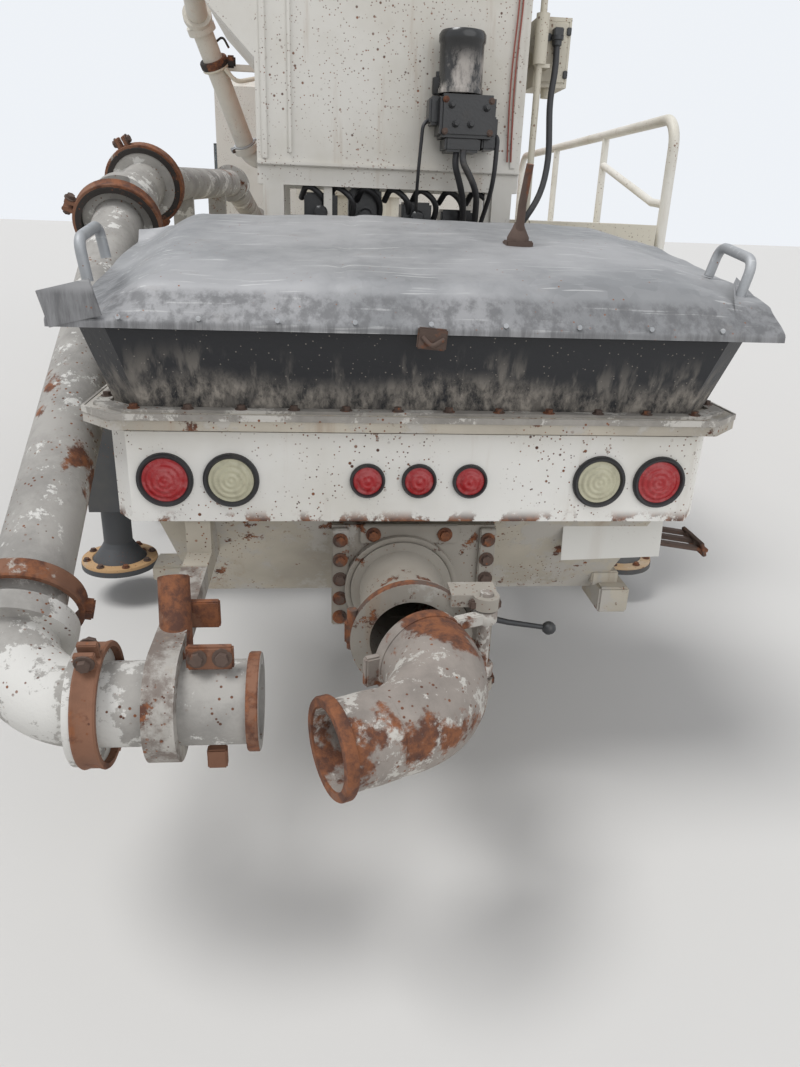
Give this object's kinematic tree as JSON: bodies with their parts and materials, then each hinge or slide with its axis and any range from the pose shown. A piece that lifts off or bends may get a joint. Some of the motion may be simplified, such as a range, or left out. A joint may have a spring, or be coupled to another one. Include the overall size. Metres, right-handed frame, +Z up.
{
  "type": "concrete pump truck",
  "caption": "truck-mounted concrete pump with a folding boom over the cab, outriggers and a rear hopper with a sheet cover, lamp panel and swing elbow",
  "frame": {"origin": "on the ground under the middle of the overall box", "axes": "+X right, +Y toward the cab, +Z up"},
  "size_m": [2.8604, 9.952, 3.96],
  "materials": {
    "white_paint": "chipped off-white paint with rust specks",
    "cream_paint": "worn cream paint with rust and concrete splashes",
    "boom_paint": "faded orange paint",
    "frame_paint": "dark grey chassis paint with dust",
    "zinc": "dull galvanised sheet",
    "pipe_paint": "grey paint, rusty with pale flakes",
    "rusty_pipe": "rusty casting with pale flakes",
    "rod_chrome": "hard chrome",
    "black_rubber": "black rubber sheet speckled with cement",
    "tyre": "dusty tyre rubber",
    "wheel_paint": "pale steel wheel",
    "window_glass": "slightly tinted glass",
    "lamp_lens": "red lens",
    "black_plastic": "black plastic",
    "engine_grey": "oily grey casting"
  },
  "bodies": {
    "truck": {"chassis_frame": "frame_paint", "axles": "frame_paint", "engine_block": "engine_grey", "cab_shell": "white_paint", "cab_glass": "window_glass", "front_bumper": "frame_paint", "lamps": "lamp_lens", "mirrors": "frame_paint", "cab_interior": "black_plastic", "side_tanks": "zinc", "fenders": "black_plastic", "deck": "cream_paint", "railing": "white_paint", "tank_box": "white_paint", "grease_pump": "black_plastic", "control_box": "cream_paint", "pedestal": "cream_paint", "hopper_body": "cream_paint", "hopper_collar": "black_rubber", "lamp_panel": "white_paint", "hopper_grate": "frame_paint", "outlet_housing": "pipe_paint", "delivery_pipe": "pipe_paint", "pump_cylinders": "pipe_paint"},
    "cover": {"hopper_cover": "zinc"},
    "agitator": {"agitator": "frame_paint"},
    "elbow": {"outlet_elbow": "rusty_pipe"},
    "door_l": {"door_left": "white_paint", "door_glass_left": "window_glass"},
    "door_r": {"door_right": "white_paint", "door_glass_right": "window_glass"},
    "slewing": {"turret": "boom_paint"},
    "arm_1": {"boom_arm_1": "boom_paint"},
    "arm_2": {"boom_arm_2": "boom_paint"},
    "arm_3": {"boom_arm_3": "boom_paint"},
    "lift_barrel": {"lift_barrel": "frame_paint"},
    "lift_rod": {"lift_rod": "rod_chrome"},
    "fold2_barrel": {"fold2_barrel": "frame_paint"},
    "fold2_rod": {"fold2_rod": "rod_chrome"},
    "fold3_barrel": {"fold3_barrel": "frame_paint"},
    "fold3_rod": {"fold3_rod": "rod_chrome"},
    "beam_l": {"outrigger_beam_left": "cream_paint"},
    "beam_r": {"outrigger_beam_right": "cream_paint"},
    "jack_rl": {"jack_rear_left": "frame_paint"},
    "jack_rr": {"jack_rear_right": "frame_paint"},
    "jack_fl": {"jack_front_left": "frame_paint"},
    "jack_fr": {"jack_front_right": "frame_paint"},
    "knuckle_l": {"knuckle_left": "frame_paint"},
    "knuckle_r": {"knuckle_right": "frame_paint"},
    "front_wheel_l": {"tyre_front_left": "tyre", "wheel_front_left": "wheel_paint"},
    "front_wheel_r": {"tyre_front_right": "tyre", "wheel_front_right": "wheel_paint"},
    "rear_wheel_l": {"tyre_rear_left": "tyre", "wheel_rear_left": "wheel_paint"},
    "rear_wheel_r": {"tyre_rear_right": "tyre", "wheel_rear_right": "wheel_paint"}
  },
  "joints": [
    {"name": "slew", "type": "hinge", "parent": "truck", "child": "slewing", "pos_m": [0, 0.84612, 1.76], "axis": [0, 0, 1], "range_deg": [-180, 180]},
    {"name": "lift", "type": "hinge", "parent": "slewing", "child": "arm_1", "pos_m": [0, -0.50388, 3.12], "axis": [1, 0, 0], "range_deg": [0, 85]},
    {"name": "fold_2", "type": "hinge", "parent": "arm_1", "child": "arm_2", "pos_m": [0, 4.79612, 3.34], "axis": [-1, 0, 0], "range_deg": [0, 180]},
    {"name": "fold_3", "type": "hinge", "parent": "arm_2", "child": "arm_3", "pos_m": [0, -0.70388, 3.72], "axis": [1, 0, 0], "range_deg": [0, 180]},
    {"name": "lift_barrel_tilt", "type": "hinge", "parent": "slewing", "child": "lift_barrel", "pos_m": [0, -0.25388, 2.2], "axis": [1, 0, 0], "range_deg": [0, 61.95]},
    {"name": "lift_rod_slide", "type": "slide", "parent": "lift_barrel", "child": "lift_rod", "axis": [0, 0.908, 0.4191], "range_m": [0, 1.1101]},
    {"name": "fold2_barrel_tilt", "type": "hinge", "parent": "arm_1", "child": "fold2_barrel", "pos_m": [0.28, 3.39612, 3.16], "axis": [-1, 0, 0], "range_deg": [0, 12.7]},
    {"name": "fold2_rod_slide", "type": "slide", "parent": "fold2_barrel", "child": "fold2_rod", "axis": [0, 0.982, 0.1888], "range_m": [-0.22659, 0]},
    {"name": "fold3_barrel_tilt", "type": "hinge", "parent": "arm_2", "child": "fold3_barrel", "pos_m": [0.25, 0.69612, 3.54], "axis": [1, 0, 0], "range_deg": [0, 12.7]},
    {"name": "fold3_rod_slide", "type": "slide", "parent": "fold3_barrel", "child": "fold3_rod", "axis": [0, -0.982, 0.1888], "range_m": [-0.22659, 0]},
    {"name": "steer_left", "type": "hinge", "parent": "truck", "child": "knuckle_l", "pos_m": [-0.85, 2.69612, 0.525], "axis": [0, 0, 1], "range_deg": [-35, 35]},
    {"name": "front_wheel_spin_left", "type": "hinge", "parent": "knuckle_l", "child": "front_wheel_l", "pos_m": [-1.02, 2.69612, 0.525], "axis": [1, 0, 0], "continuous": true},
    {"name": "rear_wheel_spin_left", "type": "hinge", "parent": "truck", "child": "rear_wheel_l", "pos_m": [-0.915, -1.50388, 0.525], "axis": [1, 0, 0], "continuous": true},
    {"name": "door_left", "type": "hinge", "parent": "truck", "child": "door_l", "pos_m": [-1.214, 3.47812, 1.75], "axis": [0, 0, -1], "range_deg": [0, 70]},
    {"name": "beam_left", "type": "slide", "parent": "truck", "child": "beam_l", "axis": [-1, 0, 0], "range_m": [0, 0.7]},
    {"name": "jack_rear_left", "type": "slide", "parent": "truck", "child": "jack_rl", "axis": [0, 0, -1], "range_m": [0, 0.45]},
    {"name": "jack_front_left", "type": "slide", "parent": "beam_l", "child": "jack_fl", "axis": [0, 0, -1], "range_m": [0, 0.45]},
    {"name": "steer_right", "type": "hinge", "parent": "truck", "child": "knuckle_r", "pos_m": [0.85, 2.69612, 0.525], "axis": [0, 0, 1], "range_deg": [-35, 35]},
    {"name": "front_wheel_spin_right", "type": "hinge", "parent": "knuckle_r", "child": "front_wheel_r", "pos_m": [1.02, 2.69612, 0.525], "axis": [1, 0, 0], "continuous": true},
    {"name": "rear_wheel_spin_right", "type": "hinge", "parent": "truck", "child": "rear_wheel_r", "pos_m": [0.915, -1.50388, 0.525], "axis": [1, 0, 0], "continuous": true},
    {"name": "door_right", "type": "hinge", "parent": "truck", "child": "door_r", "pos_m": [1.214, 3.47812, 1.75], "axis": [0, 0, 1], "range_deg": [0, 70]},
    {"name": "beam_right", "type": "slide", "parent": "truck", "child": "beam_r", "axis": [1, 0, 0], "range_m": [0, 0.7]},
    {"name": "jack_rear_right", "type": "slide", "parent": "truck", "child": "jack_rr", "axis": [0, 0, -1], "range_m": [0, 0.45]},
    {"name": "jack_front_right", "type": "slide", "parent": "beam_r", "child": "jack_fr", "axis": [0, 0, -1], "range_m": [0, 0.45]},
    {"name": "cover_hinge", "type": "hinge", "parent": "truck", "child": "cover", "pos_m": [0, -3.30888, 1.5], "axis": [-1, 0, 0], "range_deg": [0, 70]},
    {"name": "elbow_swing", "type": "hinge", "parent": "truck", "child": "elbow", "pos_m": [0.135, -4.50088, 0.71], "axis": [0, 0, 1], "range_deg": [-22, 80]},
    {"name": "agitator_spin", "type": "hinge", "parent": "truck", "child": "agitator", "pos_m": [0, -3.77388, 0.86], "axis": [1, 0, 0], "continuous": true}
  ],
  "couplings": [
    {"joint": "lift_barrel_tilt", "follows": "lift", "ratio": 0.72882},
    {"joint": "lift_rod_slide", "follows": "lift", "m_per_rad": 0.74828},
    {"joint": "fold2_barrel_tilt", "follows": "fold_2", "ratio": 0.07054},
    {"joint": "fold2_rod_slide", "follows": "fold_2", "m_per_rad": -0.07212},
    {"joint": "fold3_barrel_tilt", "follows": "fold_3", "ratio": 0.07054},
    {"joint": "fold3_rod_slide", "follows": "fold_3", "m_per_rad": -0.07212},
    {"joint": "steer_right", "follows": "steer_left", "ratio": 1}
  ]
}
